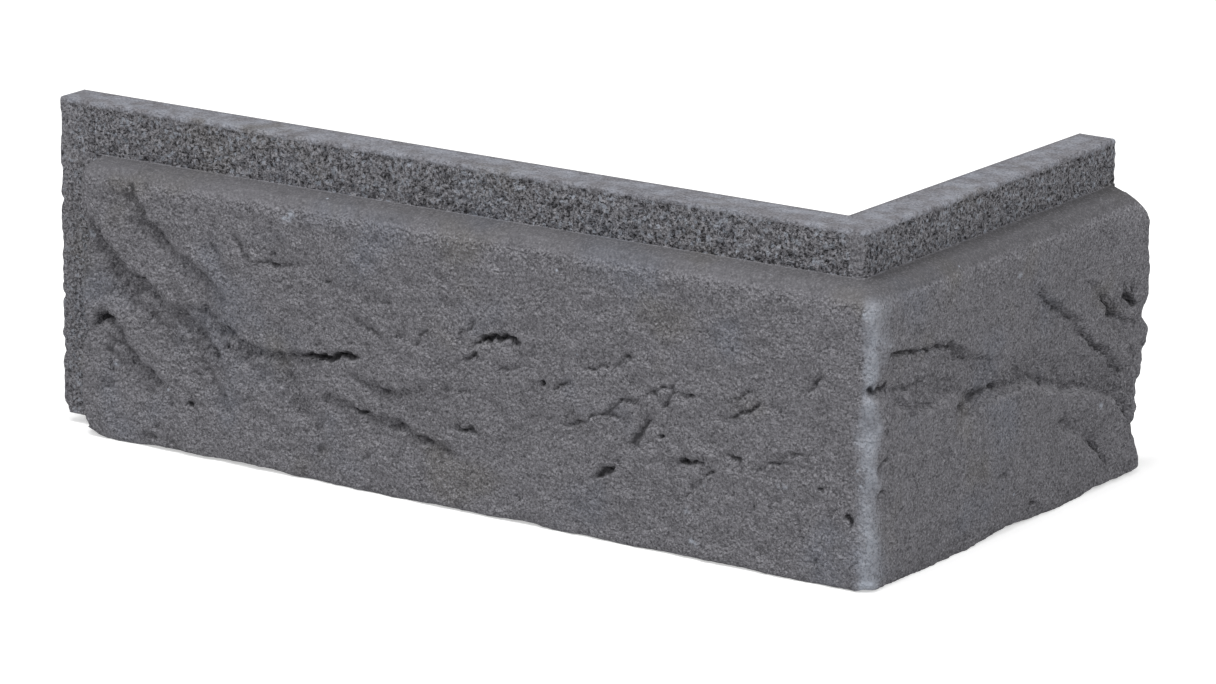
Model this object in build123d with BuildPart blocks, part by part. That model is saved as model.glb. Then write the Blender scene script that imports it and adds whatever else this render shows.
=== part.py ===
from build123d import *
import math
import os
from typing import NamedTuple

# Corner brick slip: one piece of cast concrete that wraps an outside corner of a wall.
# A thin L-shaped back carries the recessed joint along its top and down its long end.
# A raised brick face with a riven relief stands proud of the back on both legs.
# Frame: the origin is the inside corner of the two wall-side faces, on the base.
# The long leg runs along -X and shows its front to -Y.
# The short leg runs along +Y and shows its front to +X.
# All sizes are in millimetres.

# Overall sizes
long_leg = 202.3  # wall-side face of the long leg, up to the inside corner
short_leg = 94.8  # wall-side face of the short leg, up to the inside corner
brick_height = 65.0  # raised face, base to joint line at the outer corner
bed_joint = 10.0  # joint strip above the raised face

# Thickness of the back, which thins towards both ends
back_at_corner = 10.3
back_at_long_end = 8.7
back_at_short_end = 9.2

# Joint strip at the long end
head_joint = 9.8  # width of the strip left of the raised face
head_joint_lift = 2.2  # the strip stops this far above the base

# Raised brick face
face_proud = 6.7  # how far the face stands in front of the back
face_root = 3.0  # the face's block starts this far in front of the wall-side faces
face_overhang = 4.2  # the riven face runs this far past the back at the short end
joint_line_drop = 1.7  # the joint line sinks this much over the long leg
ledge_fall = 0.3  # fall of the ledge over the face for each millimetre outwards
outer_corner_radius = 3.6  # worn vertical arris

# Soft edges of the raised face: where each one starts to roll back, and its radius
crown_start = 7.0  # below the joint line
crown_radius = 6.0
foot_start = 3.0  # above the base
foot_radius = 6.0
end_start = 4.0  # before either end of the face
end_radius = 4.0
least_proud = 0.8  # however far it rolls back, the face stays this far in front of the back
calm_start = 7.0  # the folds start to fade out this far below the crown
calm_end = 2.0  # and have gone this far above its start

# Edge rounds of the back
back_vertical_round = 1.3
back_top_round = 0.8

# Spacing of the points that carry the relief, and the room left around it
relief_pitch = 3.5
relief_margin = 1.6
corner_stretch = 7.5
corner_pitch = 1.5
lean_reach = 16.0  # relief near the corner leans from one leg's normal to the other's
block_margin = 3.0  # stock in front of the plain face, which the skin cuts off


class Fold(NamedTuple):
    """One fold of the riven face: a line of points (along, height) with a soft hollow beside it.

    Along is measured on the face from the outer corner, negative on the long leg.
    Above and below are the widths over which the hollow fades on the two sides of the line.
    A fold with a negative depth is a swelling.
    """

    points: tuple
    depth: float
    above: float
    below: float


# Folds of the long leg
LONG_FOLDS = (
    Fold(((-196, 61), (-195, 55), (-191, 50), (-186, 46), (-180, 44), (-173, 41)), 1.1, 3.8, 4.0),
    Fold(
        ((-207, 50), (-203, 45), (-197, 40), (-188, 35.5), (-180, 33), (-169, 30), (-160, 26.5)),
        1.5,
        4.5,
        7.0,
    ),
    Fold(((-160, 26.5), (-148, 27.5), (-137, 29.5), (-131, 30.5)), 1.3, 4.2, 4.2),
    Fold(((-208, 25), (-204, 28), (-200, 27), (-194, 20.5), (-188, 16), (-183, 13)), 1.5, 4.5, 4.5),
    Fold(((-156, 25), (-151, 21), (-148, 16), (-142, 14)), 0.9, 3.5, 4.0),
    Fold(((-142, 20), (-132, 18.3), (-120, 16), (-106, 13.5)), 0.9, 3.5, 4.0),
    Fold(((-135, 26), (-126, 24), (-119, 24), (-112, 27)), 0.6, 2.8, 3.5),
    Fold(((-101, 38), (-95, 40.3), (-87, 40)), 0.7, 3.1, 3.1),
    Fold(((-70, 14), (-66, 16), (-58, 17)), 0.8, 3.3, 3.3),
    Fold(((-61, 22), (-57, 25), (-53, 29)), 0.5, 2.6, 3.0),
)

# Folds of the short leg
SHORT_FOLDS = (
    Fold(((8, 49.5), (17, 48.3), (27, 47.3), (36, 46)), 0.7, 3.1, 3.1),
    Fold(((-2, 43.5), (7, 42), (17, 40), (28, 38.5), (38, 36.5)), 1.1, 3.8, 3.8),
    Fold(((35, 30.5), (43, 33), (62, 33.5), (80, 29.5), (97, 23), (113, 13)), 1.6, 5.0, 4.6),
    Fold(((70, 50), (77, 45.5), (85, 41), (97, 33), (110, 23)), 0.9, 3.5, 4.0),
    Fold(((92, 47.5), (98, 43), (104, 37.5), (111, 32)), 0.8, 3.3, 3.3),
    Fold(((105, 42), (108, 41.3), (112, 39.5)), 1.5, 4.5, 4.5),
    Fold(((78, 20.5), (87, 17), (93, 12.5), (101, 4)), 1.1, 3.8, 3.8),
    Fold(((110, 62), (115, 48), (115, 26)), -1.3, 11.0, 11.0),
)

# Long low waves of the cast: amplitude, wavelength along, wavelength up, phase
WAVES = (
    (0.30, 71.0, 190.0, 0.4),
    (0.18, 37.0, 52.0, 1.9),
)

# Sizes that follow from those above
course_height = brick_height + bed_joint
corner_out = back_at_corner + face_proud
long_end_out = back_at_long_end + face_proud
short_end_out = back_at_short_end + face_proud
face_left = -long_leg + head_joint
face_far = short_leg + face_overhang

# Plan of the front of the raised face: two straight legs that meet in a rounded outer corner
outer_corner = Vector(corner_out, -corner_out)
long_run = (outer_corner - Vector(-long_leg, -long_end_out)).normalized()
short_run = (Vector(short_end_out, short_leg) - outer_corner).normalized()
long_normal = Vector(long_run.Y, -long_run.X)
corner_turn = math.radians(long_run.get_angle(short_run))
corner_reach = outer_corner_radius * math.tan(corner_turn / 2)
long_end = (face_left - corner_out) / long_run.X
short_end = (face_far + corner_out) / short_run.Y


def turned_normal(along, reach):
    """Returns the normal of the long leg, turned to the short leg's within reach of the corner."""
    share = min(max((along / reach + 1) / 2, 0.0), 1.0)
    return long_normal.rotate(Axis.Z, math.degrees(corner_turn * share))


def face_line(along):
    """Returns the point of the plain face, seen in plan, at a distance from the corner."""
    if abs(along) >= corner_reach:
        return outer_corner + (long_run if along < 0 else short_run) * along
    centre = outer_corner - long_run * corner_reach - long_normal * outer_corner_radius
    return centre + turned_normal(along, corner_reach) * outer_corner_radius


def fade(value, start, end):
    """Returns 0 at start and 1 at end, with a soft step between them."""
    share = min(max((value - start) / (end - start), 0.0), 1.0)
    return share * share * (3 - 2 * share)


def fold_depth(fold, along, height):
    """Returns how deep one fold lies at a place on the face."""
    nearest = None
    for (x0, z0), (x1, z1) in zip(fold.points, fold.points[1:]):
        run, rise = x1 - x0, z1 - z0
        length = math.hypot(run, rise)
        share = ((along - x0) * run + (height - z0) * rise) / length**2
        share = min(max(share, 0.0), 1.0)
        gap_x, gap_z = along - x0 - share * run, height - z0 - share * rise
        distance = math.hypot(gap_x, gap_z)
        if nearest is None or distance < nearest[0]:
            nearest = (distance, run * gap_z - rise * gap_x)
    distance, side = nearest
    width = fold.above if side > 0 else fold.below
    return fold.depth * math.exp(-((distance / width) ** 2))


def joint_line(along):
    """Returns the height of the joint line, which sinks towards the long end."""
    return brick_height - joint_line_drop * max(0.0, along / long_end)


def relief(along, height):
    """Returns how far the face lies in front of its plain plane."""
    waves = sum(
        amplitude * math.sin(math.tau * (along / length + height / rise) + phase)
        for amplitude, length, rise, phase in WAVES
    )
    folds = sum(fold_depth(fold, along, height) for fold in LONG_FOLDS + SHORT_FOLDS)
    crown_height = joint_line(along) - crown_start
    calm = 1 - fade(height, crown_height - calm_start, crown_height + calm_end)
    crown = max(0.0, height - crown_height) ** 2 / (2 * crown_radius)
    foot = max(0.0, foot_start - height) ** 2 / (2 * foot_radius)
    to_end = min(along - long_end, short_end - along)
    end = max(0.0, end_start - to_end) ** 2 / (2 * end_radius)
    roll_room = face_proud - least_proud
    return (waves - folds) * calm - roll_room * math.tanh((crown + foot + end) / roll_room)


def evenly(start, end, pitch):
    """Returns values from start to end, about pitch apart."""
    steps = round((end - start) / pitch)
    return [start + (end - start) * step / steps for step in range(steps + 1)]


def skin_point(along, height):
    """Returns a point of the riven face."""
    point = face_line(along) + turned_normal(along, lean_reach) * relief(along, height)
    return Vector(point.X, point.Y, height)


# Skin of the riven face: upright splines side by side, closer together round the corner,
# lofted into one sheet that runs a little past the block on all sides
skin_heights = evenly(-relief_margin, brick_height + relief_margin, relief_pitch)
skin_stops = (
    evenly(long_end - relief_margin, -corner_stretch, relief_pitch)[:-1]
    + evenly(-corner_stretch, corner_stretch, corner_pitch)
    + evenly(corner_stretch, short_end + relief_margin, relief_pitch)[1:]
)
even_shares = evenly(0.0, 1.0, 1 / (len(skin_heights) - 1))
skin_uprights = [
    Wire(
        Edge.make_spline([skin_point(along, z) for z in skin_heights], parameters=even_shares)
    )
    for along in skin_stops
]
skin = Shell.make_loft(skin_uprights).face()


def ledge_plane(foot, direction, outward, drop):
    """Returns the plane of the ledge over one leg, with its normal upwards."""
    run = Vector(direction.X, direction.Y, drop)
    fall = Vector(outward.X, outward.Y, -ledge_fall)
    return Plane(origin=foot, x_dir=run, z_dir=run.cross(fall) * -1)


# Raised brick face: an L-shaped block, its ledge sloped on both legs, its front cut to the skin
back_corner = Vector(back_at_corner, -back_at_corner, brick_height)
block_depth = corner_out + block_margin
clearing = 3 * (long_leg + short_leg)  # wide enough to clear all that lies above a ledge
with BuildPart() as brick_face:
    with BuildSketch(Plane.XY):
        with BuildLine():
            Polyline(
                (face_left, -face_root),
                (face_left, -block_depth),
                (block_depth, -block_depth),
                (block_depth, face_far),
                (back_at_short_end, face_far),
                (back_at_short_end, short_leg),
                (face_root, short_leg),
                (face_root, -face_root),
                close=True,
            )
        make_face()
    extrude(amount=brick_height)
    ledges = (
        ledge_plane(
            back_corner,
            long_run,
            Vector(0, -1),
            joint_line_drop / (long_leg + back_at_corner),
        ),
        ledge_plane(back_corner, short_run, Vector(1, 0), 0.0),
    )
    for ledge in ledges:
        with BuildSketch(ledge):
            Rectangle(clearing, clearing)
        extrude(amount=brick_height, mode=Mode.SUBTRACT)
    split(bisect_by=skin, keep=Keep.TOP)

# Back with the recessed joint: an L in plan, thinner towards its ends
with BuildPart() as joint_back:
    with BuildSketch(Plane.XY):
        with BuildLine():
            Polyline(
                (-long_leg, 0),
                (-long_leg, -back_at_long_end),
                (back_at_corner, -back_at_corner),
                (back_at_short_end, short_leg),
                (0, short_leg),
                (0, 0),
                close=True,
            )
        make_face()
    extrude(amount=course_height)
    uprights = edges().filter_by(Axis.Z)
    front_uprights = uprights.filter_by(lambda edge: edge.center().Y < -back_vertical_round)
    far_upright = uprights.sort_by(Axis.Y)[-2:].sort_by(Axis.X)[-1]
    fillet(front_uprights + [far_upright], radius=back_vertical_round)
    top_front = faces().sort_by(Axis.Z)[-1].edges().filter_by(
        lambda edge: edge.center().Y < -back_top_round or edge.center().X > back_top_round
    )
    fillet(top_front, radius=back_top_round)
    # The joint strip at the long end stops a little above the base
    with Locations((-long_leg, 0, 0)):
        Box(
            head_joint,
            back_at_corner,
            head_joint_lift,
            align=(Align.MIN, Align.MAX, Align.MIN),
            mode=Mode.SUBTRACT,
        )

# The whole slip is one casting
with BuildPart() as corner_slip:
    add(joint_back.part)
    add(brick_face.part)

corner_slip.part.label = "corner_slip"
os.makedirs("parts", exist_ok=True)
export_step(corner_slip.part, "parts/corner_slip.step")
print("size", corner_slip.part.bounding_box().size, "volume", round(corner_slip.part.volume))
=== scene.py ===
import logging
import math
from dataclasses import dataclass, field
from enum import Enum, IntEnum

import bpy
import numpy as np
from mathutils import Matrix, Vector


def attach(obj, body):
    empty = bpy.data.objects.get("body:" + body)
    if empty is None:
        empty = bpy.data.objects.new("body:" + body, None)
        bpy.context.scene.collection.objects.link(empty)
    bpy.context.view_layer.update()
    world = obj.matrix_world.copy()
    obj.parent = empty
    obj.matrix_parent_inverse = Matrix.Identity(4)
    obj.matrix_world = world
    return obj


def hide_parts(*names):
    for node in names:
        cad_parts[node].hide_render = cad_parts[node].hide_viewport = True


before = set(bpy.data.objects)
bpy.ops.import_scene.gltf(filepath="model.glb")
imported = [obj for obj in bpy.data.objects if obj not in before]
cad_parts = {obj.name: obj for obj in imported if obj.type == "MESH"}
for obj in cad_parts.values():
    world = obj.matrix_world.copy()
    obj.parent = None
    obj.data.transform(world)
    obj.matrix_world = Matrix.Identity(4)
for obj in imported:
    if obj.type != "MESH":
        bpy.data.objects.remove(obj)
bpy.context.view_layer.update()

# A corner brick slip of cast, graphite-coloured concrete, in the frame of the CAD model.
# The origin is the inside corner of the wall-side faces, on the base. The long leg runs along -X
# and faces -Y, the short leg runs along +Y and faces +X. Sizes here are in millimetres.

MM = 0.001
LOG = logging.getLogger("corner_slip")
PHOTO_WIDTH = 1216  # pixels


class Leg(Enum):
    """The two legs of the slip. A place on a leg is its frame x or y, and its height."""

    LONG = "long"
    SHORT = "short"


class Cut(Enum):
    """The ways in which a line can be worked into the riven face."""

    LIP = "lip"  # a sharp step down on the right of the line, which fades out
    HOLLOW = "hollow"  # a soft valley along the line
    CRACK = "crack"  # a narrow slit along the line


@dataclass(frozen=True)
class Stroke:
    """One line of the riven face.

    Attributes:
        cut: How it is worked.
        depth: Greatest depth, in mm, which is negative where the face swells.
        left: Width over which it fades on the left of its direction, in mm.
        right: Width over which it fades on the right, in mm.
        points: Its places, each the leg's own coordinate and the height, in mm.
    """

    cut: Cut
    depth: float
    left: float
    right: float
    points: tuple[tuple[float, float], ...]


def lip(depth: float, left: float, right: float, *points: tuple[float, float]) -> Stroke:
    """Returns a lip, whose line has the ground above it on its left."""
    return Stroke(Cut.LIP, depth, left, right, points)


def hollow(depth: float, left: float, right: float, *points: tuple[float, float]) -> Stroke:
    """Returns a soft valley."""
    return Stroke(Cut.HOLLOW, depth, left, right, points)


def crack(depth: float, left: float, right: float, *points: tuple[float, float]) -> Stroke:
    """Returns a crack."""
    return Stroke(Cut.CRACK, depth, left, right, points)


LONG_STROKES = (
    # Broad valleys of the left half
    lip(
        2.2, 1.1, 5.0,
        (-178.2, 62), (-177.2, 58.5), (-176.2, 55.5), (-174.4, 52.5), (-171.4, 49.6), (-168, 47.6),
        (-164.5, 45.6),
    ),
    hollow(1.0, 3.0, 6.0, (-186, 42), (-180, 36), (-172, 31), (-163, 26), (-153, 20)),
    hollow(1.1, 2.6, 3.0, (-139, 25), (-134.5, 21), (-131, 17), (-126, 14)),
    lip(1.1, 0.8, 3.0, (-159.4, 24), (-157, 20.6), (-154.4, 17.4), (-151.4, 13.6), (-149, 11)),
    lip(0.9, 0.8, 2.6, (-147.4, 19), (-144.8, 16.4), (-142, 14), (-139.6, 11.4)),
    lip(0.9, 0.8, 2.4, (-157, 52), (-155, 48.6), (-152, 45.6), (-149.6, 44.8), (-146.6, 44)),
    # Lips: the face above stands over a hollow below
    lip(
        2.6, 0.9, 7.5,
        (-190.5, 50.5), (-188.3, 47.6), (-185.5, 45), (-182, 42.2), (-180, 39.8), (-177.5, 38.4), (-174, 38),
        (-171.8, 36.6), (-170, 34.2),
    ),
    lip(
        1.8, 0.9, 6.0,
        (-170, 34.2), (-166.5, 33.4), (-163.5, 32.6), (-160, 30.4), (-157.4, 27.6), (-154.5, 24.5),
        (-151, 20.5),
    ),
    lip(
        1.9, 0.8, 5.5,
        (-161.5, 33.8), (-157, 34.4), (-154.6, 32.2), (-151, 30.4), (-148, 28.6), (-145, 27.2), (-141, 26.6),
        (-136, 27), (-130, 27.9), (-124, 28.8),
    ),
    lip(1.6, 0.8, 4.5, (-167, 46.2), (-164, 44.9), (-161, 44.2), (-158, 42.6), (-154.5, 40), (-150, 36.5)),
    lip(
        2.4, 0.8, 4.5,
        (-191.5, 24.5), (-189.4, 26.6), (-187.2, 28.4), (-184.6, 28.6), (-182.4, 26.4), (-180, 23.8),
        (-178, 21.2), (-176.2, 19.2), (-173.6, 17.8), (-171.2, 15.9), (-168, 14),
    ),
    lip(1.5, 0.8, 4.0, (-136, 25.5), (-134.2, 23.6), (-132.8, 21), (-131.6, 18.6), (-131, 16)),
    lip(
        1.4, 0.7, 3.4,
        (-126, 20), (-121.5, 19.5), (-119, 18.8), (-117, 19.2), (-115.3, 18), (-112.4, 17.6), (-109.6, 16.9),
        (-105.8, 17.2), (-103.4, 16.6), (-100.4, 15.6), (-97, 14.7), (-94.8, 14), (-92, 14.2), (-89, 13.3),
    ),
    lip(
        1.2, 0.7, 3.2,
        (-117.5, 25.6), (-113.2, 24.9), (-110, 24.2), (-108, 23.4), (-105, 23.7), (-102.4, 23.6), (-100, 24.4),
        (-98.2, 25.4), (-96.2, 27.2),
    ),
    # Deep slits
    crack(2.2, 0.55, 0.8, (-130, 28), (-126, 28.3), (-121.5, 28.9), (-118, 29.9), (-114.4, 30.4)),
    crack(1.6, 0.8, 1.2, (-189, 26.6), (-187, 27.6), (-185, 27.9), (-183.6, 27)),
    crack(1.3, 0.5, 0.6, (-179.2, 21.6), (-177.8, 20.6), (-176.4, 19.2), (-174.6, 18.2)),
    crack(2.0, 0.45, 0.7, (-83.4, 37.9), (-81, 39.3), (-78.8, 40), (-76.2, 40.4), (-71.4, 40)),
    crack(1.6, 0.45, 0.55, (-86.4, 33.6), (-85, 34.6), (-83.4, 35.2), (-81.4, 35.2)),
    crack(1.3, 0.45, 0.5, (-88.6, 19.2), (-87, 18.3), (-84.2, 18.6), (-82, 18)),
    crack(1.5, 0.5, 0.8, (-52.6, 13.4), (-51, 14.8), (-49.8, 15.6), (-48, 16), (-46.2, 16.8)),
    crack(0.8, 0.5, 0.6, (-48.4, 17.6), (-46.8, 18.4), (-45.4, 18)),
    crack(1.8, 0.45, 0.55, (-31.6, 20.7), (-28.4, 21), (-26.2, 21.4), (-24.2, 21.2)),
    crack(1.5, 0.45, 0.5, (-66.4, 32.1), (-64.8, 31.4)),
    crack(1.3, 0.4, 0.45, (11.4, 16.2), (12.4, 15.2), (12.7, 14)),
    # Fine cracks of the left half
    crack(0.9, 0.7, 0.8, (-148.2, 52), (-146.6, 49.6), (-145, 48), (-143.8, 46.4)),
    crack(0.9, 0.4, 0.5, (-143.8, 46.6), (-141, 47.3), (-136, 47.4), (-132.4, 47.8), (-131, 48.1)),
    crack(0.7, 0.4, 0.5, (-139.6, 49.9), (-137, 49.2), (-135.6, 48.2)),
    crack(0.6, 0.5, 0.6, (-185.8, 22.4), (-183.8, 20.6), (-183.6, 17), (-183.6, 13.4), (-184.6, 11.4)),
    crack(0.7, 0.5, 0.6, (-162.2, 30), (-162.6, 28), (-161.4, 26.4)),
    crack(0.6, 0.5, 0.6, (-158.4, 28.6), (-157.2, 26.4)),
    crack(0.6, 0.5, 0.6, (-149.4, 59), (-146.2, 59.5), (-143, 58.5)),
    crack(0.5, 0.4, 0.4, (-120, 58.6), (-120.2, 56.6)),
    crack(0.5, 0.4, 0.4, (-112.8, 52.4), (-113.8, 50.8)),
    crack(0.7, 0.4, 0.45, (-124, 45), (-121.2, 45.2)),
    crack(0.5, 0.4, 0.5, (-130.6, 42), (-127.4, 42.5)),
    crack(0.5, 0.5, 0.6, (-108.6, 43), (-106.4, 43.6), (-104.8, 42.8)),
    crack(0.9, 0.4, 0.5, (-113.8, 38.2), (-112.4, 36.6), (-110, 36.3), (-107.8, 36.6)),
    crack(0.5, 0.4, 0.5, (-107.8, 36.6), (-104, 37), (-100.6, 36.2)),
    crack(0.8, 0.4, 0.45, (-99, 37.5), (-97, 38.4), (-94.8, 38.8)),
    crack(0.9, 0.4, 0.45, (-87.4, 39.3), (-85.4, 41), (-83, 42.6)),
    crack(1.1, 0.4, 0.5, (-118, 19), (-115.4, 18), (-112, 17.5)),
    crack(0.9, 0.5, 0.6, (-108.6, 15.8), (-105, 15.6), (-101.4, 15.8)),
    crack(0.9, 0.4, 0.5, (-100, 15.2), (-97, 14.2), (-94.6, 13.8)),
    crack(0.8, 0.5, 0.8, (-94, 13.6), (-91.6, 13.2), (-89.6, 12.8)),
    crack(0.9, 0.5, 0.7, (-110, 24), (-108, 23.2), (-106.4, 23.4)),
    crack(0.6, 0.5, 0.5, (-95.8, 21.6), (-94, 20.9), (-92.6, 21)),
    crack(0.6, 0.4, 0.4, (-127, 31), (-124.6, 31.4), (-122, 31.2)),
    crack(0.6, 0.5, 0.6, (-131, 10.4), (-128.4, 11.6), (-126.4, 13)),
    crack(1.0, 0.8, 0.9, (-175, 1.8), (-172, 3), (-169.4, 2.4)),
    # Fine cracks of the right half
    crack(0.7, 0.4, 0.5, (-79.4, 32.8), (-77, 33.6), (-73.6, 33.8), (-72, 34.6), (-70.2, 35.3)),
    crack(0.6, 0.4, 0.5, (-81, 26.4), (-78.4, 25.8), (-76, 25), (-74.4, 23.8)),
    crack(0.5, 0.4, 0.5, (-89.6, 26), (-87, 26.8), (-84, 27.2), (-81.4, 27.6)),
    crack(0.9, 0.4, 0.5, (-65, 30.6), (-63, 31), (-61.4, 32.2), (-59.4, 33), (-57.8, 33.8)),
    crack(0.5, 0.4, 0.4, (-69.8, 37.4), (-67.6, 39.8), (-65, 41)),
    crack(0.6, 0.4, 0.5, (-70.4, 23.2), (-68.4, 24), (-66.4, 24.8), (-64.6, 26.2)),
    crack(
        0.8, 0.4, 0.5,
        (-60, 23.8), (-58, 25), (-55.6, 25.4), (-53.8, 26.2), (-52.4, 27.5), (-50, 28), (-47.6, 29.4),
        (-46.2, 31), (-45, 32.3), (-43, 31.9), (-40.3, 31.8),
    ),
    crack(
        0.8, 0.4, 0.45,
        (-40.2, 32), (-39, 33.6), (-37, 35), (-35, 35.9), (-32.9, 36.5), (-32.2, 35.4), (-33, 33.7),
        (-35.6, 31.2),
    ),
    crack(1.1, 0.9, 1.0, (-44.6, 22.4), (-42.4, 22.8), (-40.9, 24.2), (-39.8, 26.4), (-38, 29)),
    crack(0.7, 0.5, 0.6, (-49.6, 28), (-47, 28.2), (-44.8, 27.6)),
    crack(0.7, 0.5, 0.6, (-89.6, 26.6), (-92, 26.2)),
    crack(0.6, 0.4, 0.5, (-56.6, 36.6), (-53, 37.4), (-49.6, 38.4), (-46.4, 39), (-43.8, 41)),
    crack(0.5, 0.4, 0.4, (-47.6, 18), (-46, 18.7), (-44.6, 19)),
    crack(0.6, 0.4, 0.4, (-42.6, 18.8), (-39, 19.6), (-36.8, 20.2)),
    crack(1.0, 0.4, 0.5, (-20.4, 24.2), (-18.4, 23.9), (-15.4, 23.6), (-16.4, 22)),
    crack(0.6, 0.4, 0.5, (-20.6, 20.2), (-23, 19), (-25.2, 17.6), (-27.6, 15.4), (-30, 11.8)),
    crack(0.7, 0.4, 0.4, (-19, 35.3), (-17.4, 36.2), (-15, 37.2), (-13.4, 38.6), (-11.4, 38.3)),
    crack(1.0, 0.4, 0.45, (-19.2, 32.1), (-16.4, 32.8), (-14.4, 34.2), (-10.8, 36), (-10.2, 37.4)),
    crack(0.5, 0.4, 0.4, (-10, 36.2), (-7.4, 36.8), (-4.6, 35)),
    crack(1.1, 0.4, 0.45, (-30.4, 34.9), (-28, 35.2), (-26.6, 36)),
    crack(0.7, 0.4, 0.5, (-12.4, 22.3), (-9.4, 22.8), (-8, 24), (-5, 24.8), (-2.4, 25.2)),
    crack(0.6, 0.4, 0.4, (-4.6, 26), (-1, 27), (0.6, 27.4), (3.8, 27.9)),
    crack(0.8, 0.4, 0.45, (0, 41), (2, 41.4), (3.2, 42.8), (4.6, 45.2)),
    crack(0.6, 0.4, 0.4, (-1.6, 15.8), (-0.8, 13), (-0.3, 10.5), (0.5, 8), (1.1, 6.2)),
    crack(0.4, 0.4, 0.4, (-11, 19), (-11.6, 15), (-11.2, 11), (-10.8, 8)),
    crack(0.6, 0.4, 0.5, (-72.6, 7.2), (-71.8, 5.2), (-73, 3.2)),
    crack(0.4, 0.4, 0.5, (-81.2, 8.2), (-78.4, 7.2), (-74.8, 6.8)),
    crack(0.8, 0.4, 0.5, (-39.8, 5.3), (-38, 5), (-36, 5.1)),
    crack(0.5, 0.4, 0.5, (-52.6, 6.8), (-50, 7.3)),
    crack(0.5, 0.4, 0.4, (5.6, 14.8), (8, 15.6), (11, 16.2)),
)

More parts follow.
